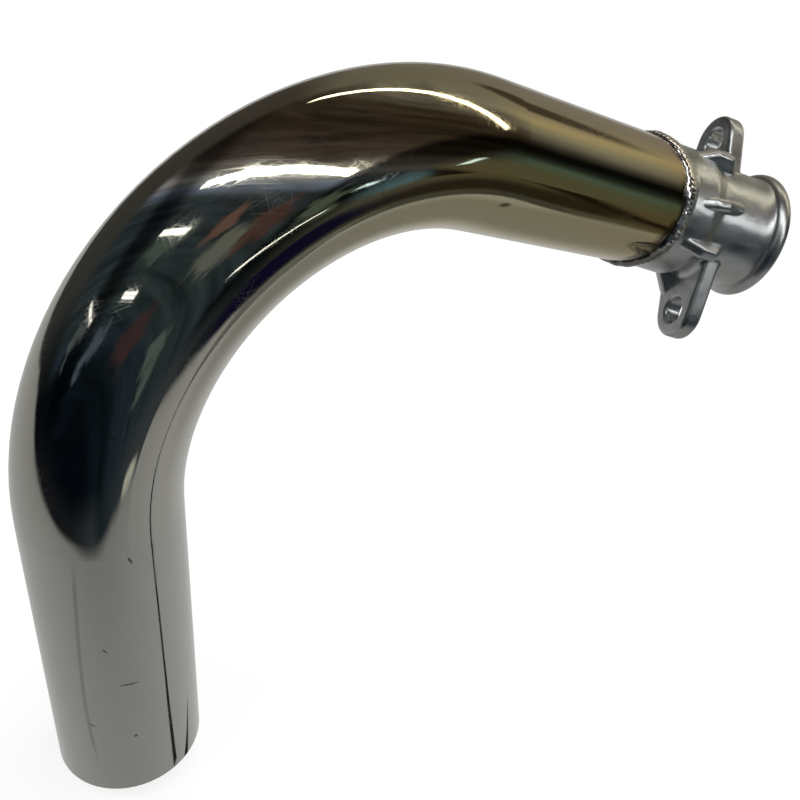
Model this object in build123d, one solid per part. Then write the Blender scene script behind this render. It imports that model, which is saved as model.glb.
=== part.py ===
"""Motorcycle exhaust header: a bent tube welded to a cast two-stud port flange.

The frame is the cylinder head's: the origin is the middle of the port mouth, +X points out of
the mouth into the head, and +Z is up. The tube leaves the port backwards and down.
"""

import os
from math import asin, cos, radians, sin, tan

from build123d import *

# The tube
tube_outer_d = 50.0
tube_wall = 1.5
bend_radius = 100.0
bend_angle = 108.0
leg_one_length = 89.0
leg_two_length = 108.0

# The casting's passage, from its mouth to the weld
port_turn = 24.5
mouth_to_corner = 50.0
elbow_inside_r = 1.5
spigot_outer_d = 45.4
spigot_bore_d = 40.0
rim_outer_d = 50.8
rim_width = 6.6
rim_flare = 0.4
flare_length = 7.0
spigot_length = 29.3
step_length = 7.0

# The stud ears
ear_thickness = 7.0
ear_setback = 20.2
ear_clock = 22.0
stud_pitch = 70.0
stud_hole_d = 10.5
stud_hole_lead = 0.9
stud_drop = 2.8
ear_end_r = 11.0
ear_root_r = 17.3
ear_edge_round = 1.6
ear_root_round = 2.5
ear_flare = 12.0

# The ribs that run along the casting
rib_thickness = 5.0
rib_height = 1.8
rib_reach = 0.5
rib_tilt = 9.0
rib_angle = 88.0
gusset_thickness = 5.6
gusset_height = 4.0
gusset_overlap = 3.2
upper_gusset_angle = 38.0
lower_gusset_angle = 130.0
web_thickness = 5.0
web_height = 8.0
web_length = 7.0
web_angle = 18.0
crest_round = 2.0
crest_corner_r = 3.0
crest_inset = 1.0
rib_sink = 0.8
root_sink = 1.5

# The weld bead
weld_width = 7.0
weld_height = 1.1

# Sizes that follow from those above
tube_r = tube_outer_d / 2
tube_bore_r = tube_r - tube_wall
spigot_r = spigot_outer_d / 2
spigot_bore_r = spigot_bore_d / 2
rim_r = rim_outer_d / 2
elbow_radius = tube_r + elbow_inside_r
elbow_tangent = elbow_radius * tan(radians(port_turn / 2))
elbow_end_x = elbow_tangent - mouth_to_corner
step_front_x = -spigot_length
step_back_x = -spigot_length - step_length
ear_front_x = -ear_setback
ear_back_x = ear_front_x - ear_thickness
foot_r = min(spigot_r, tube_r) - root_sink
half_weld = weld_width / 2
weld_land = half_weld + 0.2

# Where the tube starts, which way it leaves and where it bends
turn = radians(port_turn)
leg_one_way = Vector(-cos(turn), -sin(turn), 0)
elbow_start = Vector(elbow_end_x - elbow_radius * sin(turn), elbow_radius * (cos(turn) - 1), 0)
joint = elbow_start + leg_one_way * weld_land
down = Vector(0, 0, -1)
bend_start = joint + leg_one_way * leg_one_length
bend_centre = bend_start + down * bend_radius
bend = radians(bend_angle)
bend_end = bend_centre + leg_one_way * (bend_radius * sin(bend)) - down * (bend_radius * cos(bend))
leg_two_way = leg_one_way * cos(bend) + down * sin(bend)
across = leg_one_way.cross(down)


def run(radius):
    """A solid round rod along the tube's whole centre line."""
    leg_one = Plane(joint, z_dir=leg_one_way) * Circle(radius)
    leg_one = extrude(leg_one, leg_one_length)
    bend_face = Plane(bend_start, z_dir=leg_one_way) * Circle(radius)
    bent = revolve(bend_face, Axis(bend_centre, across), bend_angle)
    leg_two = Plane(bend_end, z_dir=leg_two_way) * Circle(radius)
    leg_two = extrude(leg_two, leg_two_length)
    return leg_one + bent + leg_two


def elbow(radius):
    """A solid round bend from the casting's straight part to the short land under the weld."""
    face = Plane((elbow_end_x, 0, 0), z_dir=(-1, 0, 0)) * Circle(radius)
    bent = revolve(face, Axis((elbow_end_x, -elbow_radius, 0), (0, 0, 1)), port_turn)
    land = Plane(elbow_start, z_dir=leg_one_way) * Circle(radius)
    return bent + extrude(land, weld_land)


def turned(points):
    """A body turned about the port axis from its half outline in X and Z."""
    return revolve(Plane.XZ * make_face(points), Axis.X, 360)


# The header tube
tube = run(tube_r) - run(tube_bore_r)

# The casting's body, turned about the port axis
rim_root = (-rim_width, spigot_r + rim_flare)
rim_mid = (-rim_width / 2, rim_r)
rim_front = (0, spigot_r + rim_flare)
flare_start = (-rim_width - flare_length, spigot_r)
outline = [
    Line((elbow_end_x, 0), (elbow_end_x, tube_r)),
    Line((elbow_end_x, tube_r), (step_back_x, tube_r)),
    Spline((step_back_x, tube_r), (step_front_x, spigot_r), tangents=((1, 0), (1, 0))),
    Line((step_front_x, spigot_r), flare_start),
    Spline(flare_start, rim_root, tangents=((1, 0), (1, 0.4))),
    ThreePointArc(rim_root, rim_mid, rim_front),
    Line(rim_front, (0, 0)),
    Line((0, 0), (elbow_end_x, 0)),
]
body = turned(outline)


def stud_z(sign):
    """How far up the casting's own ear line a stud hole is."""
    return sign * stud_pitch / 2 - stud_drop


def ear_shape(sign):
    """One ear's outline, with straight edges that touch its root and end circles."""
    end_z = stud_z(sign)
    lean = asin((ear_root_r - ear_end_r) / abs(end_z))
    root_y = ear_root_r * cos(lean)
    root_z = sign * ear_root_r * sin(lean)
    end_y = ear_end_r * cos(lean)
    side_z = end_z + sign * ear_end_r * sin(lean)
    tip_z = end_z + sign * ear_end_r
    return make_face([
        Line((-root_y, root_z), (-end_y, side_z)),
        ThreePointArc((-end_y, side_z), (0, tip_z), (end_y, side_z)),
        Line((end_y, side_z), (root_y, root_z)),
        Line((root_y, root_z), (-root_y, root_z)),
    ])


def ear_plate():
    """Both ears with flared roots, rounded edges and stud holes, joined inside the body."""
    shape = ear_shape(1) + ear_shape(-1) + Circle(foot_r)
    roots = shape.vertices().filter_by(lambda corner: corner.center().length < foot_r + 0.1)
    shape = fillet(roots, ear_flare)
    plate = extrude(Plane((ear_back_x, 0, 0), x_dir=(0, 1, 0), z_dir=(1, 0, 0)) * shape, ear_thickness)
    rims = plate.faces().sort_by(Axis.X)
    plate = fillet(rims[0].edges() + rims[-1].edges(), ear_edge_round)
    for sign in (1, -1):
        hole = Plane((ear_back_x, 0, stud_z(sign)), z_dir=(1, 0, 0)) * Circle(stud_hole_d / 2)
        plate = plate - extrude(hole, ear_thickness)
    mouths = plate.edges().filter_by(GeomType.CIRCLE).filter_by(
        lambda edge: abs(edge.radius - stud_hole_d / 2) < 0.01 and abs(edge.center().X - ear_back_x) < 0.01)
    return chamfer(mouths, stud_hole_lead)


def ridge(points, thickness, angle, tilt=0.0):
    """A ridge along the casting, drawn in a plane through the axis and clocked from the upper ear."""
    half = thickness / 2
    profile = make_face(Polyline(*points, close=True))
    corners = profile.vertices().filter_by(lambda corner: corner.Y > tube_r)
    profile = fillet(corners, crest_corner_r)
    plate = extrude(Plane.XZ * profile, half, both=True)
    crest = plate.edges().filter_by(
        lambda edge: edge.center().Z > spigot_r and abs(abs(edge.center().Y) - half) < 0.01)
    plate = fillet(crest, min(crest_round, half * 0.9))
    middle_x = plate.bounding_box().center().X
    plate = Pos(middle_x, 0, 0) * Rot(0, 0, tilt) * Pos(-middle_x, 0, 0) * plate
    return Rot(-angle, 0, 0) * plate


rib_points = [
    (elbow_end_x, foot_r),
    (elbow_end_x, tube_r - rib_sink),
    (step_back_x + crest_inset, tube_r + rib_height),
    (step_front_x - crest_inset, tube_r + rib_height),
    (ear_front_x + rib_reach, spigot_r - rib_sink),
    (ear_front_x + rib_reach, foot_r),
]
gusset_points = [
    (elbow_end_x, foot_r),
    (elbow_end_x, tube_r - rib_sink),
    (step_back_x + crest_inset, tube_r + gusset_height),
    (ear_back_x - crest_inset, tube_r + gusset_height),
    (ear_back_x + gusset_overlap, spigot_r),
    (ear_back_x + gusset_overlap, foot_r),
]
web_points = [
    (ear_back_x - web_length, foot_r),
    (ear_back_x - web_length, tube_r - rib_sink),
    (ear_back_x, tube_r + web_height),
    (ear_front_x - crest_inset, tube_r + web_height),
    (ear_front_x - crest_inset, foot_r),
]
clock = Rot(-ear_clock, 0, 0)
ears = clock * ear_plate()
eared = body + ears
eared = fillet(new_edges(body, ears, combined=eared), ear_root_round)
core = eared + elbow(tube_r)
ridges = [
    ridge(gusset_points, gusset_thickness, -upper_gusset_angle),
    ridge(rib_points, rib_thickness, -rib_angle, rib_tilt),
    ridge(gusset_points, gusset_thickness, -lower_gusset_angle),
    ridge(gusset_points, gusset_thickness, upper_gusset_angle),
    ridge(rib_points, rib_thickness, rib_angle, -rib_tilt),
    ridge(web_points, web_thickness, 180 - web_angle),
]
casting = core + [clock * item for item in ridges]

# The gas passage through the casting
taper_back_x = step_back_x
passage = [
    Line((elbow_end_x, 0), (elbow_end_x, tube_bore_r)),
    Line((elbow_end_x, tube_bore_r), (taper_back_x, tube_bore_r)),
    Line((taper_back_x, tube_bore_r), (step_front_x, spigot_bore_r)),
    Line((step_front_x, spigot_bore_r), (0, spigot_bore_r)),
    Line((0, spigot_bore_r), (0, 0)),
    Line((0, 0), (elbow_end_x, 0)),
]
flange = casting - turned(passage) - elbow(tube_bore_r)

# The weld bead, a ring that lies on the tube's end and on the casting's land
weld_plane = Plane(joint, x_dir=leg_one_way, z_dir=across)
bead = [
    ThreePointArc((-half_weld, tube_r), (0, tube_r + weld_height), (half_weld, tube_r)),
    Line((half_weld, tube_r), (-half_weld, tube_r)),
]
weld = revolve(weld_plane * make_face(bead), Axis(joint, leg_one_way), 360)

os.makedirs("parts", exist_ok=True)
nodes = {"header_tube": tube, "port_flange": flange, "flange_weld": weld}
for name, shape in nodes.items():
    shape.label = name
    export_step(shape, f"parts/{name}.step")
    box = shape.bounding_box()
    print(name, "solids", len(shape.solids()), "volume", round(shape.volume), box.min, box.max)
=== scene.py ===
# %% [markdown]
# # A motorcycle exhaust header
# The real part is a thin stainless tube with one wide bend, polished to a mirror and welded to a
# small cast flange. The engine's heat has tinted the tube straw gold near the flange. The solids
# arrive here with their true shapes, so most of this lesson is about finishes: a mirror that shows
# a room, a satin casting, and a weld bead with ripples.

# %% Load the solids
import math

import bpy
from mathutils import Matrix, Vector


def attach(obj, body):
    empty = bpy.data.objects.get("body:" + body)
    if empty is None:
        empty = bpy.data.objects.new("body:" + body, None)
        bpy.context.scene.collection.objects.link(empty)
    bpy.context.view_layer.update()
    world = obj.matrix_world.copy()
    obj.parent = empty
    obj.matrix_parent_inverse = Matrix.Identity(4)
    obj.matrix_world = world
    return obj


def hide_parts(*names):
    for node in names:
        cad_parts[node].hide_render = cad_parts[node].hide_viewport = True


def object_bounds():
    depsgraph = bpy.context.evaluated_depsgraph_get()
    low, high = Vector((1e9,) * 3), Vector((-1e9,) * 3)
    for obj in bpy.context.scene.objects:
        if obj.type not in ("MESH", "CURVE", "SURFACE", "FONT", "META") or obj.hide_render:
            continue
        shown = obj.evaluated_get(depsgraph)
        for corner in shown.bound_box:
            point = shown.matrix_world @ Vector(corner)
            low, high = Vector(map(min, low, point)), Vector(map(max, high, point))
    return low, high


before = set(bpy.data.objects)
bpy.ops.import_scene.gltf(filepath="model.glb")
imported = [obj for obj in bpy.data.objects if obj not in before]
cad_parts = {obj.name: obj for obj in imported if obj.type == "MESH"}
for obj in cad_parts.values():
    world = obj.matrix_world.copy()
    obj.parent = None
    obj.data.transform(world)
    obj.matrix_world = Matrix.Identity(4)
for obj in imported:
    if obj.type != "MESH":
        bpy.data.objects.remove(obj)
cad_low, cad_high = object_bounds()
scene = bpy.context.scene
scene.view_settings.view_transform = "Standard"
MM = 0.001
print("solids", sorted(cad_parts), "box", [round(v, 4) for v in (*cad_low, *cad_high)])

# %% [markdown]
# ## The camera
# The photograph was matched to the tube's outline beforehand, which gave the place of the eye, the
# way it looks and its focal length in pixels. The optical axis passes a little above the middle of
# the picture, so the lens is shifted down by that much.

# %% Camera
eye = Vector((-233.027, -320.792, 26.819)) * MM
look_way = Vector((0.30929, 0.8842, -0.35004)).normalized()
head_way = Vector((-0.22505, 0.42569, 0.87644)).normalized()
side_way = look_way.cross(head_way)
picture_px = 800
focal_px = 877.296
axis_above_middle_px = 17

camera_data = bpy.data.cameras.new("camera")
camera_data.sensor_width = 36
camera_data.lens = focal_px / picture_px * camera_data.sensor_width
camera_data.shift_y = -axis_above_middle_px / picture_px
camera_data.clip_start = 0.01
camera = bpy.data.objects.new("camera", camera_data)
scene.collection.objects.link(camera)
turn = Matrix((side_way, head_way, -look_way)).transposed()
camera.matrix_world = Matrix.Translation(eye) @ turn.to_4x4()
scene.camera = camera
print("lens", round(camera_data.lens, 2), "mm")

# %% [markdown]
# ## Two small helpers
# Colours are written the way a paint program shows them, as sRGB hex, and turned to the linear
# values that the renderer adds up. The second helper adds one node: it takes the node's settings
# as keywords and its inputs as a dictionary, where a value is set and a socket is linked. A node
# with a colour ramp also takes its stops, each a place from 0 to 1 and a hex colour or a grey.


# %% Helpers
def srgb(code):
    """An sRGB hex colour as linear red, green, blue and alpha."""
    parts = [int(code[i:i + 2], 16) / 255 for i in (1, 3, 5)]
    linear = [p / 12.92 if p <= 0.04045 else ((p + 0.055) / 1.055) ** 2.4 for p in parts]
    return (*linear, 1.0)


def add_node(tree, kind, inputs=None, stops=(), **settings):
    """Adds one node to a tree with its settings and ramp stops, and sets or links each input."""
    node = tree.nodes.new(kind)
    for name, value in settings.items():
        setattr(node, name, value)
    for key, value in (inputs or {}).items():
        socket = node.inputs[key]
        if isinstance(value, bpy.types.NodeSocket):
            tree.links.new(value, socket)
        else:
            socket.default_value = value
    for count, (place, tone) in enumerate(stops):
        elements = node.color_ramp.elements
        if count == 0:
            elements.remove(elements[-1])
            elements[0].position = place
        else:
            elements.new(place)
        elements[count].color = srgb(tone) if isinstance(tone, str) else (tone, tone, tone, 1.0)
    return node


print("helpers ready, mid grey is", round(srgb("#808080")[0], 3))

# %% [markdown]
# ## The room that the mirror shows
# A polished tube has hardly any colour of its own: what the eye reads as chrome is a picture of
# the room. The photograph's tube lay on a pale sheet under a dark ceiling with rows of tube lamps.
# An image of a room could be wrapped round the scene, but this room is only a few soft fields, so
# the world works them out from the direction of each ray, in the sheet's own axes: how far up it
# points, how far right and how far towards the camera, and its compass bearing round the sheet.

# %% Directions in the room
sheet_up = Vector((-0.274, -0.752, 0.600)).normalized()
sheet_right = sheet_up.cross(Vector((0, 0, 1))).normalized()
sheet_near = sheet_up.cross(sheet_right)

world = bpy.data.worlds.new("room")
scene.world = world
world.use_nodes = True
room = world.node_tree
room.nodes.clear()
way = add_node(room, "ShaderNodeTexCoord").outputs["Generated"]
up, right, near = [
    add_node(room, "ShaderNodeVectorMath", {0: way, 1: axis}, operation="DOT_PRODUCT").outputs["Value"]
    for axis in (sheet_up, sheet_right, sheet_near)
]
bearing = add_node(room, "ShaderNodeMath", {0: near, 1: right}, operation="ARCTAN2").outputs[0]
bearing = add_node(room, "ShaderNodeMath", {0: bearing}, operation="DEGREES").outputs[0]
around_room = add_node(room, "ShaderNodeMapRange", {
    0: bearing, 1: -180.0, 2: 180.0, 3: 0.0, 4: 1.0}).outputs[0]
print("sheet faces", [round(v, 2) for v in sheet_up])

# %% [markdown]
# ### Walls and ceiling
# The walls are one ring of colours by bearing, in degrees: a pale far wall, a dark doorway, an
# olive bench and black beside the camera. The ceiling is dark brown far off, washed blue white by
# the nearest lamps and black towards the camera, with roof boards along the rows of lamps.

# %% Walls and ceiling
wall_stops = [
    (-180, "#635f4d"), (-174, "#5f614f"), (-167, "#576c65"), (-163, "#303a35"), (-158, "#0e1210"),
    (-153, "#0c0e0c"), (-148, "#4b4b47"), (-142, "#86847e"), (-136, "#a39f90"), (-127, "#c2b696"),
    (-118, "#a09888"), (-108, "#908981"), (-68, "#767369"), (-58, "#4b453f"), (0, "#3c3f3f"),
    (12, "#262a2b"), (30, "#0a0d12"), (90, "#212327"), (108, "#383e42"), (118, "#242d32"),
    (146, "#40464c"), (156, "#23282b"), (162, "#3e3f3b"), (167, "#5b5b53"), (173, "#5b5543"),
    (174.6, "#1c140d"), (176, "#1a130c"), (177.2, "#635c47"), (180, "#635f4d"),
]
ceiling_stops = [
    (-1.0, "#8b8984"), (-0.9, "#736f6c"), (-0.82, "#453c35"), (-0.62, "#342b24"), (-0.34, "#4e4441"),
    (-0.27, "#7c7676"), (-0.2, "#aaaab3"), (-0.14, "#75829e"), (-0.08, "#384047"), (0.0, "#303940"),
    (0.5, "#2f3a3e"), (0.62, "#26323d"), (0.75, "#141d24"), (1.0, "#030710"),
]
walls = add_node(room, "ShaderNodeValToRGB", {0: around_room},
                 stops=[((place + 180) / 360, code) for place, code in wall_stops]).outputs[0]
slant = add_node(room, "ShaderNodeMath", {0: right, 1: 0.25, 2: near}, operation="MULTIPLY_ADD").outputs[0]
slant = add_node(room, "ShaderNodeMapRange", {0: slant, 1: -1.0, 2: 1.0, 3: 0.0, 4: 1.0}).outputs[0]
ceiling = add_node(room, "ShaderNodeValToRGB", {0: slant},
                   stops=[((place + 1) / 2, code) for place, code in ceiling_stops]).outputs[0]
shade = add_node(room, "ShaderNodeMapRange", {0: right, 1: 0.52, 2: 0.72, 3: 1.0, 4: 0.25},
                 interpolation_type="SMOOTHSTEP").outputs[0]
glow = add_node(room, "ShaderNodeMapRange", {0: right, 1: 0.80, 2: 0.90, 3: 0.0, 4: 0.9},
                interpolation_type="SMOOTHSTEP").outputs[0]
shade = add_node(room, "ShaderNodeMath", {0: shade, 1: glow}, operation="ADD").outputs[0]
far_end = add_node(room, "ShaderNodeMapRange", {0: right, 1: -0.80, 2: -0.87, 3: 1.0, 4: 0.14},
                   interpolation_type="SMOOTHSTEP").outputs[0]
shade = add_node(room, "ShaderNodeMath", {0: shade, 1: far_end}, operation="MULTIPLY").outputs[0]
board_stretch = (1.5, 34.0, 1.0)
boards_at = add_node(room, "ShaderNodeCombineXYZ", {0: right, 1: slant}).outputs[0]
boards_at = add_node(room, "ShaderNodeVectorMath", {0: boards_at, 1: board_stretch},
                     operation="MULTIPLY").outputs[0]
boards = add_node(room, "ShaderNodeTexNoise", {"Vector": boards_at, "Scale": 1.0, "Detail": 2.0}).outputs[0]
boards = add_node(room, "ShaderNodeMapRange", {0: boards, 1: 0.32, 2: 0.68, 3: 0.55, 4: 1.45}).outputs[0]
shade = add_node(room, "ShaderNodeMath", {0: shade, 1: boards}, operation="MULTIPLY").outputs[0]
ceiling = add_node(room, "ShaderNodeMix", {0: 1.0, 6: ceiling, 7: shade},
                   data_type="RGBA", blend_type="MULTIPLY").outputs[2]

print(len(wall_stops), "wall stops and", len(ceiling_stops), "ceiling stops")

# %% [markdown]
# ### The sheet
# The sheet fills the directions below its own edge. The edge is near on the flange's side and at
# the back, so there it dips well below the horizon. Straight down the sheet looks brightest.

# %% Sheet
edge_stops = [
    (-180, -0.46), (-165, -0.46), (-152, -0.40), (-140, -0.60), (-60, -0.55), (-30, -0.62), (-5, -0.46),
    (3, -0.38), (9, -0.28), (14, -0.18), (22, -0.10), (30, -0.07), (60, -0.03), (90, 0.02), (128, 0.03),
    (140, -0.01), (148, -0.06), (152, -0.14), (156, -0.20), (160, -0.30), (164, -0.44), (180, -0.46),
]
sheet_stops = [(0.0, 0.28), (0.16, 0.35), (0.3, 0.385), (0.45, 0.42), (0.65, 0.46), (0.9, 0.53), (1.0, 0.58)]
edge_reach = 0.7
edge_top = 0.9
edge = add_node(room, "ShaderNodeValToRGB", {0: around_room},
                stops=[((place + 180) / 360, edge_top + height / edge_reach)
                       for place, height in edge_stops])
edge = add_node(room, "ShaderNodeMath", {0: edge.outputs[0], 1: edge_reach, 2: -edge_top * edge_reach},
                operation="MULTIPLY_ADD").outputs[0]
over = add_node(room, "ShaderNodeMath", {0: up, 1: edge}, operation="SUBTRACT").outputs[0]
on_sheet = add_node(room, "ShaderNodeMapRange", {0: over, 1: -0.035, 2: 0.025, 3: 1.0, 4: 0.0},
                    interpolation_type="SMOOTHSTEP").outputs[0]
down = add_node(room, "ShaderNodeMath", {0: up, 1: -1.0}, operation="MULTIPLY").outputs[0]
sheet = add_node(room, "ShaderNodeValToRGB", {0: down}, stops=sheet_stops).outputs[0]
print(len(edge_stops), "edge stops and", len(sheet_stops), "sheet stops")

# %% [markdown]
# ### Shelves and boxes
# What stands in the room is only hinted at, by soft patches of colour. On the ceiling they are boxes
# and lit boards with ragged outlines. The walls have a dark beam, a lit teal corner, dark gaps over
# the sheet's edge and one glint on that edge.

# %% Patches
# Each patch: its middle, its half sizes, its colour and its strength. A place on the ceiling is given
# by right and near, and a place on the walls by bearing and height.
ceiling_patches = [
    ((-0.44, 0.33), (0.20, 0.13), "#737570", 0.9), ((-0.66, 0.22), (0.14, 0.13), "#573d39", 0.85),
    ((-0.21, 0.14), (0.13, 0.10), "#7d5f55", 0.75), ((-0.05, 0.62), (0.20, 0.13), "#463335", 0.9),
    ((0.36, 0.12), (0.26, 0.10), "#5d6c65", 0.7), ((0.50, 0.56), (0.12, 0.07), "#55636f", 0.9),
    ((-0.55, 0.64), (0.08, 0.09), "#606b69", 0.9), ((-0.90, 0.20), (0.06, 0.10), "#58665c", 0.9),
    ((0.82, 0.40), (0.05, 0.08), "#5b6468", 0.8),
]
wall_patches = [
    ((-110.0, -0.08), (15.0, 0.10), "#4b4038", 0.95), ((172.0, 0.20), (4.5, 0.13), "#6c98b0", 0.9),
    ((169.5, -0.25), (6.0, 0.13), "#2a2219", 0.9), ((161.5, -0.19), (5.5, 0.15), "#0d0b2c", 0.95),
    ((138.5, 0.005), (3.0, 0.03), "#d2d3c6", 0.9),
]
ragged_scale, ragged_reach = 8.0, 0.25
overhead_at = add_node(room, "ShaderNodeCombineXYZ", {0: right, 1: near}).outputs[0]
ragged = add_node(room, "ShaderNodeTexNoise", {
    "Vector": way, "Scale": ragged_scale, "Detail": 3.0}).outputs["Color"]
ragged = add_node(room, "ShaderNodeVectorMath", {0: ragged, 1: (0.5, 0.5, 0.5)},
                  operation="SUBTRACT").outputs[0]
ragged = add_node(room, "ShaderNodeVectorMath", {0: ragged, 1: (ragged_reach, ragged_reach, 0.0)},
                  operation="MULTIPLY").outputs[0]
overhead_at = add_node(room, "ShaderNodeVectorMath", {0: overhead_at, 1: ragged}, operation="ADD").outputs[0]
wall_at = add_node(room, "ShaderNodeCombineXYZ", {0: bearing, 1: up}).outputs[0]
fields = {"walls": walls, "ceiling": ceiling}
patches = [("ceiling", overhead_at, *patch) for patch in ceiling_patches]
patches += [("walls", wall_at, *patch) for patch in wall_patches]
for field, spot, middle, half, code, strength in patches:
    gap = add_node(room, "ShaderNodeVectorMath", {0: spot, 1: (*middle, 0)}, operation="SUBTRACT").outputs[0]
    gap = add_node(room, "ShaderNodeVectorMath", {0: gap, 1: (*half, 1)}, operation="DIVIDE").outputs[0]
    gap = add_node(room, "ShaderNodeVectorMath", {0: gap}, operation="LENGTH").outputs["Value"]
    share = add_node(room, "ShaderNodeMapRange", {0: gap, 1: 0.55, 2: 1.1, 3: strength, 4: 0.0},
                     interpolation_type="SMOOTHSTEP").outputs[0]
    fields[field] = add_node(room, "ShaderNodeMix", {0: share, 6: fields[field], 7: srgb(code)},
                             data_type="RGBA").outputs[2]
print(len(patches), "patches")

# %% [markdown]
# ### One room, and white for the camera
# The walls fade into the ceiling, and the sheet lies over both. The camera itself sees plain white,
# because the photograph has no background.

# %% Room light
overhead = add_node(room, "ShaderNodeMapRange", {0: up, 1: 0.05, 2: 0.26, 3: 0.0, 4: 1.0},
                    interpolation_type="SMOOTHSTEP").outputs[0]
view = add_node(room, "ShaderNodeMix", {0: overhead, 6: fields["walls"], 7: fields["ceiling"]},
                data_type="RGBA").outputs[2]
view = add_node(room, "ShaderNodeMix", {0: on_sheet, 6: view, 7: sheet}, data_type="RGBA").outputs[2]
room_light = add_node(room, "ShaderNodeBackground", {0: view, 1: 1.0}).outputs[0]
plain_white = add_node(room, "ShaderNodeBackground", {0: (1, 1, 1, 1), 1: 1.0}).outputs[0]
seen = add_node(room, "ShaderNodeLightPath").outputs["Is Camera Ray"]
both = add_node(room, "ShaderNodeMixShader", {0: seen, 1: room_light, 2: plain_white}).outputs[0]
add_node(room, "ShaderNodeOutputWorld", {0: both})
print("room", len(room.nodes), "nodes")

# %% [markdown]
# ## The tube lamps
# The long bright streaks along the bend are rows of ceiling lamps. Each row is an area light: its
# place is given on a ceiling that is parallel to the sheet, in ceiling heights, with the row's
# half length, its width and how bright it looks. The ceiling is far off, so that the mirror shows
# a row in the same direction from every part of the tube.

# %% Lamps
ceiling_height = 20.0


def lamp_row(name, right_at, near_at, half_length, width, lean, radiance, tone="#ffffff"):
    """One row of tube lamps on the ceiling, facing the sheet, turned a little by its lean."""
    light = bpy.data.lights.new(name, "AREA")
    light.color = srgb(tone)[:3]
    light.shape = "RECTANGLE"
    light.size = 2 * half_length * ceiling_height
    light.size_y = width * ceiling_height
    light.energy = radiance * math.pi * light.size * light.size_y
    lamp = bpy.data.objects.new(name, light)
    scene.collection.objects.link(lamp)
    place = (sheet_up + sheet_right * right_at + sheet_near * near_at) * ceiling_height
    row_way = (sheet_right + sheet_near * lean).normalized()
    facing = Matrix((row_way, sheet_up.cross(row_way), sheet_up)).transposed()
    lamp.matrix_world = Matrix.Translation(place) @ facing.to_4x4()
    lamp.visible_camera = False
    return lamp


lamps = [
    lamp_row("row_near", -0.36, -0.172, 1.08, 0.062, -0.19, 13.5),
    lamp_row("row_third", 0.46, 0.055, 0.24, 0.045, -0.20, 3.0),
    lamp_row("row_fourth", 0.47, 0.465, 0.14, 0.05, -0.10, 3.0),
    lamp_row("row_far", -0.75, -2.45, 2.05, 0.36, -0.13, 7.0, "#fff6dc"),
    lamp_row("lamp_left", 1.63, 0.60, 0.32, 0.07, -0.31, 2.5),
    lamp_row("lamp_right", -2.98, 1.03, 1.02, 0.07, 0.0, 2.5),
    lamp_row("teal_near", -3.45, 0.49, 0.45, 0.10, -0.09, 2.2, "#cdeaff"),
    lamp_row("teal_far", -7.0, -0.15, 1.3, 0.25, -0.26, 2.0, "#cdeaff"),
]
print(len(lamps), "lamps")

# %% [markdown]
# ## The floor
# A pale floor under the lowest point. It looks white to the camera and keeps a little of the soft
# shadow that one wide sun throws from above. The mirror shows the sheet instead of the floor, so
# glossy rays pass it, and they pass the sun too.

# %% Floor
floor_gap = 0.5 * MM
floor_half = 40.0
floor_white_share = 0.86
floor_mesh = bpy.data.meshes.new("floor")
floor_z = cad_low.z - floor_gap
corners = [(x * floor_half, y * floor_half, floor_z) for x, y in ((-1, -1), (1, -1), (1, 1), (-1, 1))]
floor_mesh.from_pydata(corners, [], [(0, 1, 2, 3)])
floor = bpy.data.objects.new("floor", floor_mesh)
scene.collection.objects.link(floor)
floor.visible_glossy = False
floor_paint = bpy.data.materials.new("pale floor")
floor_paint.use_nodes = True
tree = floor_paint.node_tree
tree.nodes.clear()
matt = add_node(tree, "ShaderNodeBsdfDiffuse", {"Color": srgb("#f4f4f2")}).outputs[0]
white = add_node(tree, "ShaderNodeEmission", {"Color": (1, 1, 1, 1), "Strength": 1.0}).outputs[0]
seen = add_node(tree, "ShaderNodeLightPath").outputs["Is Camera Ray"]
share = add_node(tree, "ShaderNodeMath", {0: seen, 1: floor_white_share}, operation="MULTIPLY").outputs[0]
paint = add_node(tree, "ShaderNodeMixShader", {0: share, 1: matt, 2: white}).outputs[0]
add_node(tree, "ShaderNodeOutputMaterial", {"Surface": paint})
floor_mesh.materials.append(floor_paint)

sun_light = bpy.data.lights.new("sun", "SUN")
sun_strength = math.pi
sun_width = math.radians(50)
sun_light.energy = sun_strength
sun_light.angle = sun_width
sun = bpy.data.objects.new("sun", sun_light)
scene.collection.objects.link(sun)
sun.visible_glossy = False
print("floor at", round(floor_z, 4))

# %% [markdown]
# ## A seam and a shadow on the sheet
# The second leg's mirror shows one thin dark line from end to end: a seam in the sheet that the
# tube lies on. It turns a corner, so it runs on along the inside of the bend, and the sheet is darker
# beyond that corner. These are narrow strips in the sheet's plane that only the mirror sees, with one
# dark triangle beside the leg's end: a painted contact shadow of the tube on the sheet. The tube's own
# soft shadow lies on the sheet beside the flange, where the first leg's underside shows it. That is
# one more piece in the same plane, see-through towards its rim.

# %% Seam
# The sheet's plane, in mm along the sheet's own up from the origin in the port's mouth
sheet_level = -53.2
# The seam's places on the sheet, right and near in mm, each with the seam's half width there
seam_path = [
    (104, 285.6, 3.4), (13, 274.5, 4.4), (-76, 264.5, 5.6), (-90, 250, 5.2),
    (-94, 232, 5.0), (-97, 210, 5.0), (-106, 196, 5.0), (-140, 190, 5.0),
]
# First the corners of the painted contact shadow, a dark triangle beside the leg's end, then those of the
# darker strip of sheet, right and near in mm
contact_shadow_corners = [(115.5, 246), (115, 285), (122, 285)]
rim_corners = [(-100, 194), (-250, 194), (-250, 256), (-92, 256)]


def on_sheet_plane(right_mm, near_mm):
    """A place on the sheet's plane in metres."""
    return (sheet_up * sheet_level + sheet_right * right_mm + sheet_near * near_mm) * MM


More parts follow.
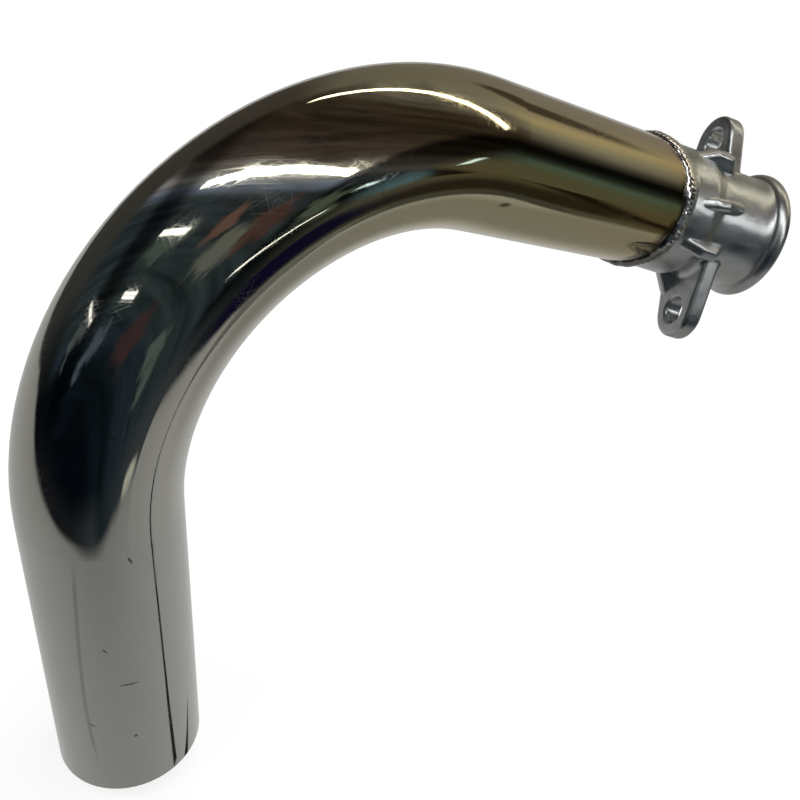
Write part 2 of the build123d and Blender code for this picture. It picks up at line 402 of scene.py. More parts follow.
corners = []
for count, (x, y, half) in enumerate(seam_path):
    before, after = seam_path[max(count - 1, 0)], seam_path[min(count + 1, len(seam_path) - 1)]
    run = Vector((after[0] - before[0], after[1] - before[1])).normalized()
    corners.append(on_sheet_plane(x - run.y * half, y + run.x * half))
    corners.append(on_sheet_plane(x + run.y * half, y - run.x * half))
faces = [(i, i + 1, i + 3, i + 2) for i in range(0, len(corners) - 2, 2)]
for patch in (contact_shadow_corners, rim_corners):
    faces.append(tuple(range(len(corners), len(corners) + len(patch))))
    corners += [on_sheet_plane(x, y) for x, y in patch]
seam_and_shadow_mesh = bpy.data.meshes.new("sheet_seam_and_contact_shadow")
seam_and_shadow_mesh.from_pydata(corners, [], faces)
seam = bpy.data.objects.new("sheet_seam_and_contact_shadow", seam_and_shadow_mesh)
scene.collection.objects.link(seam)
# The first finish is the dark seam and also the painted contact shadow beside the leg's end; the second is
# the darker strip of sheet
for title, code in (("dark seam and painted contact shadow", "#2e2d2a"), ("darker sheet", "#767672")):
    paint = bpy.data.materials.new(title)
    paint.use_nodes = True
    paint.node_tree.nodes.clear()
    dark = add_node(paint.node_tree, "ShaderNodeEmission", {"Color": srgb(code), "Strength": 1.0}).outputs[0]
    add_node(paint.node_tree, "ShaderNodeOutputMaterial", {"Surface": dark})
    seam_and_shadow_mesh.materials.append(paint)
seam_and_shadow_mesh.polygons[len(faces) - 1].material_index = 1
seam.visible_camera = False
seam.visible_diffuse = False
seam.visible_shadow = False
print("seam of", len(seam_path), "places")

# %% Shadow on the sheet
shadow_half_right, shadow_half_near = 0.150, 0.115
shadow_mesh = bpy.data.meshes.new("sheet_shadow")
corners = [(x * shadow_half_right, y * shadow_half_near, 0) for x, y in ((-1, -1), (1, -1), (1, 1), (-1, 1))]
shadow_mesh.from_pydata(corners, [], [(0, 1, 2, 3)])
shadow = bpy.data.objects.new("sheet_shadow", shadow_mesh)
scene.collection.objects.link(shadow)
shadow_level, shadow_right, shadow_near = -0.0538, -0.030, 0.115
shadow_at = sheet_up * shadow_level + sheet_right * shadow_right + sheet_near * shadow_near
shadow_turn = Matrix((sheet_right, sheet_near, sheet_right.cross(sheet_near))).transposed()
shadow.matrix_world = Matrix.Translation(shadow_at) @ shadow_turn.to_4x4()
shadow_paint = bpy.data.materials.new("soft shadow")
shadow_paint.use_nodes = True
tree = shadow_paint.node_tree
tree.nodes.clear()
place = add_node(tree, "ShaderNodeTexCoord").outputs["Object"]
place = add_node(tree, "ShaderNodeVectorMath", {0: place, 1: (shadow_half_right, shadow_half_near, 1)},
                 operation="DIVIDE").outputs[0]
out = add_node(tree, "ShaderNodeVectorMath", {0: place}, operation="LENGTH").outputs["Value"]
share = add_node(tree, "ShaderNodeMapRange", {0: out, 1: 0.45, 2: 1.0, 3: 1.0, 4: 0.0},
                 interpolation_type="SMOOTHSTEP").outputs[0]
dark = add_node(tree, "ShaderNodeEmission", {"Color": srgb("#93928e"), "Strength": 1.0}).outputs[0]
clear = add_node(tree, "ShaderNodeBsdfTransparent").outputs[0]
paint = add_node(tree, "ShaderNodeMixShader", {0: share, 1: clear, 2: dark}).outputs[0]
add_node(tree, "ShaderNodeOutputMaterial", {"Surface": paint})
shadow_mesh.materials.append(shadow_paint)
shadow.visible_camera = False
shadow.visible_diffuse = False
shadow.visible_shadow = False
print("shadow", round(2 * shadow_half_right / MM), "by", round(2 * shadow_half_near / MM), "mm")

# %% [markdown]
# ## Measure along and around the tube
# Heat tint follows the tube's length, and scratches lie on its skin. The solid has no UV map, but
# its centre line is a straight leg, one arc and a second leg, so both measures follow from the
# Object coordinates by plain geometry. The group gives them in millimetres: along from the start
# of the bend, and around from the outside of the bend towards the camera's side. It also gives how
# far a point is from the centre line, which tells the bore from the outside.

# %% Where the centre line runs
port_turn = math.radians(24.5)
tube_r = 25.0
bend_radius = 100.0
bend_angle = math.radians(108.0)
leg_one_length = 89.0
elbow_radius = 26.5
mouth_to_corner = 50.0
weld_land = 3.7
leg_way = Vector((-math.cos(port_turn), -math.sin(port_turn), 0))
across = leg_way.cross(Vector((0, 0, -1)))
elbow_end_x = elbow_radius * math.tan(port_turn / 2) - mouth_to_corner
elbow_back = elbow_radius * Vector((-math.sin(port_turn), math.cos(port_turn) - 1, 0))
joint = Vector((elbow_end_x, 0, 0)) + elbow_back + leg_way * weld_land
bend_centre = joint + leg_way * leg_one_length - Vector((0, 0, bend_radius))
print("joint", [round(x, 2) for x in joint], "bend centre", [round(x, 2) for x in bend_centre])

# %% Tube measure
measure = bpy.data.node_groups.new("tube measure", "ShaderNodeTree")
for name in ("Along", "Around", "From Middle"):
    measure.interface.new_socket(name, in_out="OUTPUT", socket_type="NodeSocketFloat")
place = add_node(measure, "ShaderNodeTexCoord").outputs["Object"]
place = add_node(measure, "ShaderNodeVectorMath", {0: place, 3: 1 / MM}, operation="SCALE").outputs[0]
place = add_node(measure, "ShaderNodeVectorMath", {0: place, 1: bend_centre},
                 operation="SUBTRACT").outputs[0]
leg_two_way = leg_way * math.cos(bend_angle) - Vector((0, 0, math.sin(bend_angle)))
leg_two_out = leg_way * math.sin(bend_angle) + Vector((0, 0, math.cos(bend_angle)))
on_one, out_one, side, on_two, out_two = [
    add_node(measure, "ShaderNodeVectorMath", {0: place, 1: axis}, operation="DOT_PRODUCT").outputs["Value"]
    for axis in (leg_way, Vector((0, 0, 1)), across, leg_two_way, leg_two_out)
]
flat = add_node(measure, "ShaderNodeCombineXYZ", {0: on_one, 1: out_one}).outputs[0]
out_bend = add_node(measure, "ShaderNodeVectorMath", {0: flat}, operation="LENGTH").outputs["Value"]
swept = add_node(measure, "ShaderNodeMath", {0: on_one, 1: out_one}, operation="ARCTAN2").outputs[0]
swept = add_node(measure, "ShaderNodeMath", {0: swept, 1: bend_radius}, operation="MULTIPLY").outputs[0]
past_bend = add_node(measure, "ShaderNodeMath", {0: on_two, 1: bend_radius * bend_angle},
                     operation="ADD").outputs[0]
in_two = add_node(measure, "ShaderNodeMath", {0: on_two, 1: 0.0}, operation="GREATER_THAN").outputs[0]
in_one = add_node(measure, "ShaderNodeMath", {0: on_one, 1: 0.0}, operation="LESS_THAN").outputs[0]
along = add_node(measure, "ShaderNodeMix", {0: in_two, 2: swept, 3: past_bend}).outputs[0]
along = add_node(measure, "ShaderNodeMix", {0: in_one, 2: along, 3: on_one}).outputs[0]
out = add_node(measure, "ShaderNodeMix", {0: in_two, 2: out_bend, 3: out_two}).outputs[0]
out = add_node(measure, "ShaderNodeMix", {0: in_one, 2: out, 3: out_one}).outputs[0]
out = add_node(measure, "ShaderNodeMath", {0: out, 1: bend_radius}, operation="SUBTRACT").outputs[0]
around = add_node(measure, "ShaderNodeMath", {0: side, 1: out}, operation="ARCTAN2").outputs[0]
around = add_node(measure, "ShaderNodeMath", {0: around, 1: tube_r}, operation="MULTIPLY").outputs[0]
across_tube = add_node(measure, "ShaderNodeCombineXYZ", {0: side, 1: out}).outputs[0]
from_middle = add_node(measure, "ShaderNodeVectorMath", {0: across_tube},
                       operation="LENGTH").outputs["Value"]
add_node(measure, "NodeGroupOutput", {"Along": along, "Around": around, "From Middle": from_middle})
print("tube measure", len(measure.nodes), "nodes")

# %% [markdown]
# ## Polished stainless steel with heat tint
# Stainless tube, buffed to a mirror. Heat grew a thin oxide film that is straw gold at the flange
# and fades round the bend. It could be painted as a fixed gradient, but a real film has a cloudy
# edge, so slow noise pushes the gradient to and fro. All of it is drawn in tube measure.

# %% Heat tint
tube_steel = bpy.data.materials.new("polished stainless steel")
tube_steel.use_nodes = True
tree = tube_steel.node_tree
tree.nodes.clear()
skin = add_node(tree, "ShaderNodeGroup", node_tree=measure)
along, around = skin.outputs["Along"], skin.outputs["Around"]
flat = add_node(tree, "ShaderNodeCombineXYZ", {0: along, 1: around}).outputs[0]
weld_at = -leg_one_length
tint_end = 211.0
tint_stops = [
    (-89, "#b6a47c"), (-84, "#bfaf87"), (-60, "#c3b998"), (30, "#c3bc9e"), (82, "#c3c0af"),
    (120, "#c2bfb3"), (190, "#c0bfb8"),
]
cloud = add_node(tree, "ShaderNodeTexNoise", {"Vector": flat, "Scale": 1 / 45, "Detail": 3.0}).outputs[0]
sway = add_node(tree, "ShaderNodeMapRange", {0: cloud, 1: 0.3, 2: 0.7, 3: -12.0, 4: 12.0}).outputs[0]
heat_at = add_node(tree, "ShaderNodeMath", {0: along, 1: sway}, operation="ADD").outputs[0]
heat_at = add_node(tree, "ShaderNodeMapRange", {
    0: heat_at, 1: weld_at, 2: tint_end, 3: 0.0, 4: 1.0}).outputs[0]
tint = add_node(tree, "ShaderNodeValToRGB", {0: heat_at},
                stops=[((mm - weld_at) / (tint_end - weld_at), code) for mm, code in tint_stops]).outputs[0]
print("tint over", round(tint_end - weld_at), "mm")

# %% [markdown]
# ### Soot by the weld, scuffs and hairlines
# Three kinds of wear sit on the mirror. Flux and soot left a dull dark rim beside the weld, wider
# on its lower side. Handling left one long scuff and a few nicks on the second leg. Years of
# wiping left hairlines, which show as pale threads wherever a lamp is near in the mirror. They are
# drawn wider than real ones, because a hair of 0.05 mm would not show in the picture. The bore was
# never polished, and exhaust gas has coated it with dull brown soot.

# %% Soot
degree = math.radians(1) * tube_r
low_side = add_node(tree, "ShaderNodeMapRange", {0: around, 1: 70 * degree, 2: 125 * degree, 3: 4.2, 4: 9.5},
                    interpolation_type="SMOOTHSTEP").outputs[0]
speck = add_node(tree, "ShaderNodeTexNoise", {"Vector": flat, "Scale": 1 / 8, "Detail": 2.0}).outputs[0]
speck = add_node(tree, "ShaderNodeMapRange", {0: speck, 1: 0.3, 2: 0.7, 3: -2.4, 4: 2.4}).outputs[0]
from_weld = add_node(tree, "ShaderNodeMath", {0: along, 1: weld_at}, operation="SUBTRACT").outputs[0]
soot = add_node(tree, "ShaderNodeMath", {0: low_side, 1: from_weld}, operation="SUBTRACT").outputs[0]
soot = add_node(tree, "ShaderNodeMath", {0: soot, 1: speck}, operation="ADD").outputs[0]
soot = add_node(tree, "ShaderNodeMapRange", {0: soot, 1: -1.2, 2: 2.2, 3: 0.0, 4: 0.85}).outputs[0]
print("soot beside the weld, one degree is", round(degree, 3), "mm of skin")

# %% Scuffs
scuff_points = [(188, 53.8), (204, 51.4), (230, 47.6), (260, 45.8), (283, 49.5)]
scuff_from, scuff_to = scuff_points[0][0], scuff_points[-1][0]
scuff_low, scuff_high = 40.0, 60.0
scuff_at = add_node(tree, "ShaderNodeMapRange", {
    0: along, 1: scuff_from, 2: scuff_to, 3: 0.0, 4: 1.0}).outputs[0]
scuff_line = add_node(tree, "ShaderNodeFloatCurve", {0: 1.0, 1: scuff_at})
points = scuff_line.mapping.curves[0].points
while len(points) < len(scuff_points):
    points.new(0.5, 0.5)
for point, (mm, angle) in zip(points, scuff_points):
    share_along = (mm - scuff_from) / (scuff_to - scuff_from)
    share_around = (angle - scuff_low) / (scuff_high - scuff_low)
    point.location = (share_along, share_around)
scuff_line.mapping.update()
line_at = add_node(tree, "ShaderNodeMapRange", {
    0: scuff_line.outputs[0], 1: 0.0, 2: 1.0, 3: scuff_low * degree, 4: scuff_high * degree}).outputs[0]
gap = add_node(tree, "ShaderNodeMath", {0: around, 1: line_at}, operation="SUBTRACT").outputs[0]
gap = add_node(tree, "ShaderNodeMath", {0: gap}, operation="ABSOLUTE").outputs[0]
scuff = add_node(tree, "ShaderNodeMapRange", {0: gap, 1: 0.2, 2: 0.9, 3: 1.0, 4: 0.0}).outputs[0]
middle = add_node(tree, "ShaderNodeMath", {0: along, 1: (scuff_from + scuff_to) / 2},
                  operation="SUBTRACT").outputs[0]
middle = add_node(tree, "ShaderNodeMath", {0: middle}, operation="ABSOLUTE").outputs[0]
half_scuff = (scuff_to - scuff_from) / 2
fade_length = 12
kept = add_node(tree, "ShaderNodeMapRange", {
    0: middle, 1: half_scuff - fade_length, 2: half_scuff, 3: 0.3, 4: 0.0}).outputs[0]
scuff = add_node(tree, "ShaderNodeMath", {0: scuff, 1: kept}, operation="MULTIPLY").outputs[0]

# Each nick: along in mm, around in degrees, half length and half width in mm, and its turn in degrees
nicks = [
    (243, 79.5, 3.2, 0.35, 84), (269, 79.5, 0.7, 0.6, 0), (191, 90, 1.6, 0.4, 20), (262, 48.4, 1.4, 0.3, 60),
    (1.2, 112, 2.6, 0.9, 10), (226, 66, 1.1, 0.3, 35), (150, 70, 1.8, 0.25, 55),
]
for nick_along, nick_around, half_length, half_width, nick_turn in nicks:
    gap = add_node(tree, "ShaderNodeVectorMath", {0: flat, 1: (nick_along, nick_around * degree, 0)},
                   operation="SUBTRACT").outputs[0]
    gap = add_node(tree, "ShaderNodeMapping", {
        "Vector": gap, "Rotation": (0, 0, math.radians(nick_turn)),
        "Scale": (half_length, half_width, 1)}, vector_type="TEXTURE").outputs[0]
    gap = add_node(tree, "ShaderNodeVectorMath", {0: gap}, operation="LENGTH").outputs["Value"]
    nick = add_node(tree, "ShaderNodeMapRange", {0: gap, 1: 0.6, 2: 1.2, 3: 0.8, 4: 0.0}).outputs[0]
    scuff = add_node(tree, "ShaderNodeMath", {0: scuff, 1: nick}, operation="MAXIMUM").outputs[0]
print("scuff", scuff_to - scuff_from, "mm long and", len(nicks), "nicks")

# %% Hairlines
# Each family of hairs: its turn in degrees, the hairs' length and width in mm, and an offset
hair_families = [
    (8, 60, 0.3, 3), (-24, 44, 0.28, 11), (62, 26, 0.28, 29), (-68, 30, 0.28, 47), (38, 36, 0.28, 71),
]
hairs = None
for hair_turn, length_mm, width_mm, offset in hair_families:
    turned = add_node(tree, "ShaderNodeMapping", {
        "Vector": flat, "Location": (offset, offset * 1.7, 0),
        "Rotation": (0, 0, math.radians(hair_turn))}).outputs[0]
    drawn = add_node(tree, "ShaderNodeMapping", {
        "Vector": turned, "Scale": (1 / length_mm, 1 / width_mm, 1)}).outputs[0]
    hair = add_node(tree, "ShaderNodeTexNoise", {"Vector": drawn, "Scale": 1.0, "Detail": 0.0},
                    noise_dimensions="2D").outputs[0]
    hair = add_node(tree, "ShaderNodeMapRange", {0: hair, 1: 0.70, 2: 0.80, 3: 0.0, 4: 1.0}).outputs[0]
    if hairs is None:
        hairs = hair
    else:
        hairs = add_node(tree, "ShaderNodeMath", {0: hairs, 1: hair}, operation="MAXIMUM").outputs[0]
patch = add_node(tree, "ShaderNodeTexNoise", {"Vector": flat, "Scale": 1 / 24, "Detail": 2.0}).outputs[0]
patch = add_node(tree, "ShaderNodeMapRange", {0: patch, 1: 0.46, 2: 0.62, 3: 0.1, 4: 1.0}).outputs[0]
hairs = add_node(tree, "ShaderNodeMath", {0: hairs, 1: patch}, operation="MULTIPLY").outputs[0]
print(len(hair_families), "families of hairs")

# %% Tube finish
smear = add_node(tree, "ShaderNodeMapRange", {0: cloud, 1: 0.35, 2: 0.75, 3: 0.025, 4: 0.065}).outputs[0]
rough = add_node(tree, "ShaderNodeMath", {0: hairs, 1: 0.13, 2: smear}, operation="MULTIPLY_ADD").outputs[0]
rough = add_node(tree, "ShaderNodeMath", {0: soot, 1: 0.15, 2: rough}, operation="MULTIPLY_ADD").outputs[0]
rough = add_node(tree, "ShaderNodeMath", {0: scuff, 1: 0.30, 2: rough}, operation="MULTIPLY_ADD").outputs[0]
tone = add_node(tree, "ShaderNodeMix", {0: soot, 6: tint, 7: srgb("#3b362c")}, data_type="RGBA").outputs[2]
tone = add_node(tree, "ShaderNodeMix", {0: scuff, 6: tone, 7: srgb("#4a463f")}, data_type="RGBA").outputs[2]
bore = add_node(tree, "ShaderNodeMapRange", {
    0: skin.outputs["From Middle"], 1: tube_r - 1.2, 2: tube_r - 0.5, 3: 1.0, 4: 0.0}).outputs[0]
rough = add_node(tree, "ShaderNodeMath", {0: bore, 1: 0.35, 2: rough}, operation="MULTIPLY_ADD").outputs[0]
tone = add_node(tree, "ShaderNodeMix", {0: bore, 6: tone, 7: srgb("#a2968a")}, data_type="RGBA").outputs[2]
wave = add_node(tree, "ShaderNodeMapping", {"Vector": flat, "Scale": (1 / 60, 1 / 9, 1)}).outputs[0]
wave = add_node(tree, "ShaderNodeTexNoise", {"Vector": wave, "Scale": 1.0, "Detail": 1.0}).outputs[0]
buffed = add_node(tree, "ShaderNodeBump", {
    "Strength": 1.0, "Distance": 0.06 * MM, "Height": wave}).outputs[0]
metal = add_node(tree, "ShaderNodeBsdfPrincipled", {
    "Base Color": tone, "Metallic": 1.0, "Roughness": rough, "Normal": buffed})
add_node(tree, "ShaderNodeOutputMaterial", {"Surface": metal.outputs[0]})
print("tube finish", len(tree.nodes), "nodes")

# %% [markdown]
# ## Satin cast steel
# The flange was cast, shot blasted and tumbled. The eye sees a soft grey metal with shallow dimples
# and a fine grain, rounder at every edge than a drawing says. A sculpted mesh could carry that, but
# it is only as deep as a hair, so two noises give the dimples and the grain in the shading, and the
# bevel node rounds the foot of each rib there.

# %% Casting finish
cast_steel = bpy.data.materials.new("satin cast steel")
cast_steel.use_nodes = True
tree = cast_steel.node_tree
tree.nodes.clear()
place = add_node(tree, "ShaderNodeTexCoord").outputs["Object"]
grain_mm, dimple_mm, mottle_mm = 0.9, 6.0, 9.0
grain = add_node(tree, "ShaderNodeTexNoise", {
    "Vector": place, "Scale": 1 / (grain_mm * MM), "Detail": 3.0}).outputs[0]
dimple = add_node(tree, "ShaderNodeTexNoise", {
    "Vector": place, "Scale": 1 / (dimple_mm * MM), "Detail": 2.0}).outputs[0]
mottle = add_node(tree, "ShaderNodeTexNoise", {
    "Vector": place, "Scale": 1 / (mottle_mm * MM), "Detail": 3.0}).outputs[0]
tone = add_node(tree, "ShaderNodeMapRange", {0: mottle, 1: 0.3, 2: 0.7, 3: 0.0, 4: 1.0}).outputs[0]
tone = add_node(tree, "ShaderNodeMix", {0: tone, 6: srgb("#b9bdbc"), 7: srgb("#d0d2d1")},
                data_type="RGBA").outputs[2]
rough = add_node(tree, "ShaderNodeMapRange", {0: mottle, 1: 0.3, 2: 0.7, 3: 0.28, 4: 0.38}).outputs[0]
height = add_node(tree, "ShaderNodeMath", {0: dimple, 1: 7.0, 2: grain}, operation="MULTIPLY_ADD").outputs[0]
soft_edge = add_node(tree, "ShaderNodeBevel", {"Radius": 0.8 * MM}, samples=8).outputs[0]
bump = add_node(tree, "ShaderNodeBump", {
    "Strength": 0.5, "Distance": 0.05 * MM, "Height": height, "Normal": soft_edge}).outputs[0]
metal = add_node(tree, "ShaderNodeBsdfPrincipled", {
    "Base Color": tone, "Metallic": 1.0, "Roughness": rough, "Normal": bump})
add_node(tree, "ShaderNodeOutputMaterial", {"Surface": metal.outputs[0]})
print("casting finish", len(tree.nodes), "nodes")

# %% [markdown]
# ## Weld metal
# The bead was laid by hand in stainless wire. It is bright, clean metal along the top, and its
# colour darkens towards the bottom.

# %% Weld finish
weld_steel = bpy.data.materials.new("bright weld steel")
weld_steel.use_nodes = True
tree = weld_steel.node_tree
tree.nodes.clear()
place = add_node(tree, "ShaderNodeTexCoord").outputs["Object"]
mottle_mm = 3.0
mottle = add_node(tree, "ShaderNodeTexNoise", {
    "Vector": place, "Scale": 1 / (mottle_mm * MM), "Detail": 3.0}).outputs[0]
tone = add_node(tree, "ShaderNodeMapRange", {0: mottle, 1: 0.3, 2: 0.7, 3: 0.0, 4: 1.0}).outputs[0]
tone = add_node(tree, "ShaderNodeMix", {0: tone, 6: srgb("#d6d4cf"), 7: srgb("#f4f2ee")},
                data_type="RGBA").outputs[2]
# The tone darkens towards the bottom of the bead, from its height with a little noise
height = add_node(tree, "ShaderNodeSeparateXYZ", {0: place}).outputs[2]
height = add_node(tree, "ShaderNodeMath", {0: mottle, 1: 10 * MM, 2: height},
                  operation="MULTIPLY_ADD").outputs[0]
dull = add_node(tree, "ShaderNodeMapRange", {0: height, 1: 0.0, 2: -9 * MM, 3: 0.0, 4: 0.8}).outputs[0]
tone = add_node(tree, "ShaderNodeMix", {0: dull, 6: tone, 7: srgb("#4f4e48")}, data_type="RGBA").outputs[2]
rough = add_node(tree, "ShaderNodeMapRange", {0: mottle, 1: 0.3, 2: 0.7, 3: 0.14, 4: 0.28}).outputs[0]
metal = add_node(tree, "ShaderNodeBsdfPrincipled", {"Base Color": tone, "Metallic": 1.0, "Roughness": rough})
add_node(tree, "ShaderNodeOutputMaterial", {"Surface": metal.outputs[0]})
print("weld finish", len(tree.nodes), "nodes")

# %% [markdown]
# ## The weld bead
# The solid's bead is a smooth ring. A real one is a row of frozen drops, each lapping over the one
# before, that wanders a little to and fro. That is a rule round a ring, so Geometry Nodes make it:
# a flat grid is rolled up twice, round the tube and round the bead's own section. Ripples lift the
# section, noise makes it wander, and a few larger drops are set on the ring by instances.

# %% Bead tree
bead_tree = bpy.data.node_groups.new("weld bead", "GeometryNodeTree")
bead_tree.is_modifier = True
bead_sizes = {
    "Ring Radius": tube_r * MM, "Width": 5.8 * MM, "Height": 1.5 * MM, "Root": 0.9 * MM,
    "Drop Spacing": 1.9 * MM, "Ripple": 0.08, "Wander": 2.2 * MM, "Drop Radius": 1.6 * MM,
}
for name in bead_sizes:
    bead_tree.interface.new_socket(name, in_out="INPUT", socket_type="NodeSocketFloat")
bead_tree.interface.new_socket("Finish", in_out="INPUT", socket_type="NodeSocketMaterial")
bead_tree.interface.new_socket("Mesh", in_out="OUTPUT", socket_type="NodeSocketGeometry")
given = add_node(bead_tree, "NodeGroupInput").outputs
steps_round, steps_section = 721, 25
sheet_grid = add_node(bead_tree, "GeometryNodeMeshGrid", {
    "Size X": math.tau, "Size Y": math.tau,
    "Vertices X": steps_round, "Vertices Y": steps_section}).outputs["Mesh"]
place = add_node(bead_tree, "GeometryNodeInputPosition").outputs[0]
angles = add_node(bead_tree, "ShaderNodeSeparateXYZ", {0: place})
ring_angle, section_angle = angles.outputs[0], angles.outputs[1]
ring_cos, ring_sin, section_cos, section_sin = [
    add_node(bead_tree, "ShaderNodeMath", {0: angle}, operation=kind).outputs[0]
    for angle in (ring_angle, section_angle) for kind in ("COSINE", "SINE")
]
ring_way = add_node(bead_tree, "ShaderNodeCombineXYZ", {0: ring_cos, 1: ring_sin}).outputs[0]
ring_place = add_node(bead_tree, "ShaderNodeVectorMath", {0: ring_way, 3: given["Ring Radius"]},
                      operation="SCALE").outputs[0]
print("bead tree takes", list(bead_sizes))

# %% Bead surface
# Whole drops round the ring, each with a front that bows back at the bead's edges
girth = add_node(bead_tree, "ShaderNodeMath", {0: given["Ring Radius"], 1: math.tau},
                 operation="MULTIPLY").outputs[0]
drops = add_node(bead_tree, "ShaderNodeMath", {0: girth, 1: given["Drop Spacing"]},
                 operation="DIVIDE").outputs[0]
drops = add_node(bead_tree, "ShaderNodeMath", {0: drops}, operation="ROUND").outputs[0]
bow = add_node(bead_tree, "ShaderNodeMath", {0: section_cos, 1: section_cos},
               operation="MULTIPLY").outputs[0]
bow_back = 1.8
bow = add_node(bead_tree, "ShaderNodeMath", {0: bow, 1: bow_back}, operation="MULTIPLY").outputs[0]
half_ring = add_node(bead_tree, "ShaderNodeMath", {0: ring_angle, 1: 0.5}, operation="MULTIPLY").outputs[0]
phase = add_node(bead_tree, "ShaderNodeMath", {0: half_ring, 1: drops, 2: bow},
                 operation="MULTIPLY_ADD").outputs[0]
ripple = add_node(bead_tree, "ShaderNodeMath", {0: phase}, operation="SINE").outputs[0]
ripple = add_node(bead_tree, "ShaderNodeMath", {0: ripple}, operation="ABSOLUTE").outputs[0]
ripple = add_node(bead_tree, "ShaderNodeMath", {0: ripple, 1: 1.0}, operation="SUBTRACT").outputs[0]
ripple = add_node(bead_tree, "ShaderNodeMath", {0: ripple, 1: given["Ripple"], 2: 1.0},
                  operation="MULTIPLY_ADD").outputs[0]
lump_mm, wander_mm = 7.0, 11.0
lumps = add_node(bead_tree, "ShaderNodeTexNoise", {
    "Vector": ring_place, "Scale": 1 / (lump_mm * MM), "Detail": 1.0}).outputs[0]
lumps = add_node(bead_tree, "ShaderNodeMapRange", {0: lumps, 1: 0.3, 2: 0.7, 3: 0.8, 4: 1.2}).outputs[0]
lift = add_node(bead_tree, "ShaderNodeMath", {0: ripple, 1: lumps}, operation="MULTIPLY").outputs[0]
lift = add_node(bead_tree, "ShaderNodeMath", {0: lift, 1: given["Height"]}, operation="MULTIPLY").outputs[0]
above = add_node(bead_tree, "ShaderNodeMath", {0: section_sin, 1: 0.0}, operation="MAXIMUM").outputs[0]
above = add_node(bead_tree, "ShaderNodeMath", {0: above, 1: lift}, operation="MULTIPLY").outputs[0]
below = add_node(bead_tree, "ShaderNodeMath", {0: section_sin, 1: 0.0}, operation="MINIMUM").outputs[0]
below = add_node(bead_tree, "ShaderNodeMath", {0: below, 1: given["Root"]}, operation="MULTIPLY").outputs[0]
reach = add_node(bead_tree, "ShaderNodeMath", {0: above, 1: below}, operation="ADD").outputs[0]
reach = add_node(bead_tree, "ShaderNodeMath", {0: reach, 1: given["Ring Radius"]},
                 operation="ADD").outputs[0]
sway = add_node(bead_tree, "ShaderNodeTexNoise", {
    "Vector": ring_place, "Scale": 1 / (wander_mm * MM), "Detail": 1.0}).outputs[0]
sway = add_node(bead_tree, "ShaderNodeMath", {0: sway, 1: 0.5}, operation="SUBTRACT").outputs[0]
sway = add_node(bead_tree, "ShaderNodeMath", {0: sway, 1: given["Wander"]}, operation="MULTIPLY").outputs[0]
half_width = add_node(bead_tree, "ShaderNodeMath", {0: given["Width"], 1: -0.5},
                      operation="MULTIPLY").outputs[0]
half_width = add_node(bead_tree, "ShaderNodeMath", {0: half_width, 1: lumps},
                      operation="MULTIPLY").outputs[0]
length = add_node(bead_tree, "ShaderNodeMath", {0: section_cos, 1: half_width, 2: sway},
                  operation="MULTIPLY_ADD").outputs[0]
rolled = add_node(bead_tree, "ShaderNodeVectorMath", {0: ring_way, 3: reach}, operation="SCALE").outputs[0]
rise = add_node(bead_tree, "ShaderNodeCombineXYZ", {2: length}).outputs[0]
rolled = add_node(bead_tree, "ShaderNodeVectorMath", {0: rolled, 1: rise}, operation="ADD").outputs[0]
bead = add_node(bead_tree, "GeometryNodeSetPosition", {
    "Geometry": sheet_grid, "Position": rolled}).outputs[0]
bead = add_node(bead_tree, "GeometryNodeMergeByDistance", {
    "Geometry": bead, "Distance": 0.01 * MM}).outputs[0]
print("bead surface", steps_round, "by", steps_section, "points")

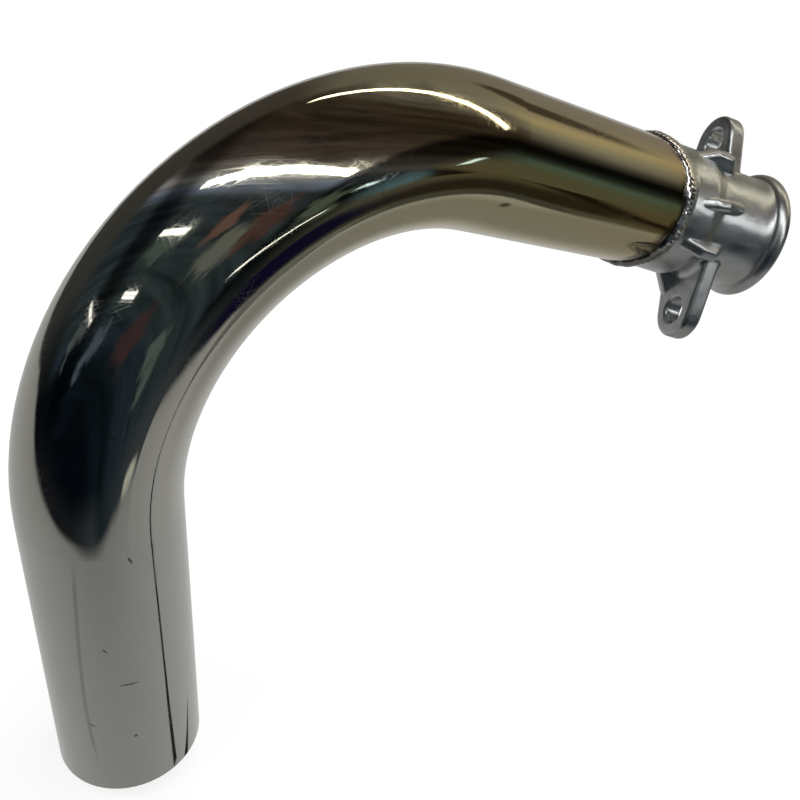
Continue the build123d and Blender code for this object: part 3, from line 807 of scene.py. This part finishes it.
# %% Larger drops
drop_count, drop_seed = 7, 4
drop_ring = add_node(bead_tree, "GeometryNodeMeshCircle", {
    "Vertices": drop_count, "Radius": given["Ring Radius"]}).outputs[0]
shift_low, shift_high = (-0.8 * MM, -0.8 * MM, -1.3 * MM), (0.2 * MM, 0.2 * MM, 1.3 * MM)
shift = add_node(bead_tree, "FunctionNodeRandomValue", {0: shift_low, 1: shift_high, "Seed": drop_seed},
                 data_type="FLOAT_VECTOR").outputs[0]
drop_ring = add_node(bead_tree, "GeometryNodeSetPosition", {
    "Geometry": drop_ring, "Offset": shift}).outputs[0]
ball = add_node(bead_tree, "GeometryNodeMeshIcoSphere", {
    "Radius": given["Drop Radius"], "Subdivisions": 4}).outputs[0]
least, most = (0.45, 0.45, 0.5), (0.8, 0.8, 1.15)
sizes = add_node(bead_tree, "FunctionNodeRandomValue", {0: least, 1: most, "Seed": drop_seed + 1},
                 data_type="FLOAT_VECTOR").outputs[0]
big_drops = add_node(bead_tree, "GeometryNodeInstanceOnPoints", {
    "Points": drop_ring, "Instance": ball, "Scale": sizes}).outputs[0]
joined = add_node(bead_tree, "GeometryNodeJoinGeometry").outputs[0]
for part in (bead, big_drops):
    bead_tree.links.new(part, joined.node.inputs[0])
real = add_node(bead_tree, "GeometryNodeRealizeInstances", {"Geometry": joined}).outputs[0]
smooth = add_node(bead_tree, "GeometryNodeSetShadeSmooth", {"Geometry": real}).outputs[0]
dressed = add_node(bead_tree, "GeometryNodeSetMaterial", {
    "Geometry": smooth, "Material": given["Finish"]}).outputs[0]
add_node(bead_tree, "NodeGroupOutput", {"Mesh": dressed})
print("bead tree", len(bead_tree.nodes), "nodes")

# %% Bead piece
maker = bpy.data.objects.new("bead_maker", bpy.data.meshes.new("bead_maker"))
scene.collection.objects.link(maker)
modifier = maker.modifiers.new("weld bead", "NODES")
modifier.node_group = bead_tree
for item in bead_tree.interface.items_tree:
    if item.in_out == "INPUT":
        modifier[item.identifier] = weld_steel if item.name == "Finish" else bead_sizes[item.name]
depsgraph = bpy.context.evaluated_depsgraph_get()
bead_mesh = bpy.data.meshes.new_from_object(maker.evaluated_get(depsgraph))
bpy.data.objects.remove(maker)
bead_turn = Matrix((leg_way.cross(across), across, leg_way)).transposed()
bead_mesh.transform(Matrix.Translation(joint * MM) @ bead_turn.to_4x4())
bead_piece = bpy.data.objects.new("weld_bead", bead_mesh)
scene.collection.objects.link(bead_piece)
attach(bead_piece, "root")
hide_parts("flange_weld")
print("bead", len(bead_mesh.polygons), "faces")

# %% [markdown]
# ## Finishes on the solids
# The tube and the casting keep their own shapes, so each only takes its finish. The smooth weld ring
# is hidden behind the bead and gets the weld metal too, in case it is shown alone.

# %% Dress the solids
finishes = {"header_tube": tube_steel, "port_flange": cast_steel, "flange_weld": weld_steel}
for name, finish in finishes.items():
    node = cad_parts[name]
    node.data.materials.clear()
    node.data.materials.append(finish)
print("dressed", sorted(finishes))
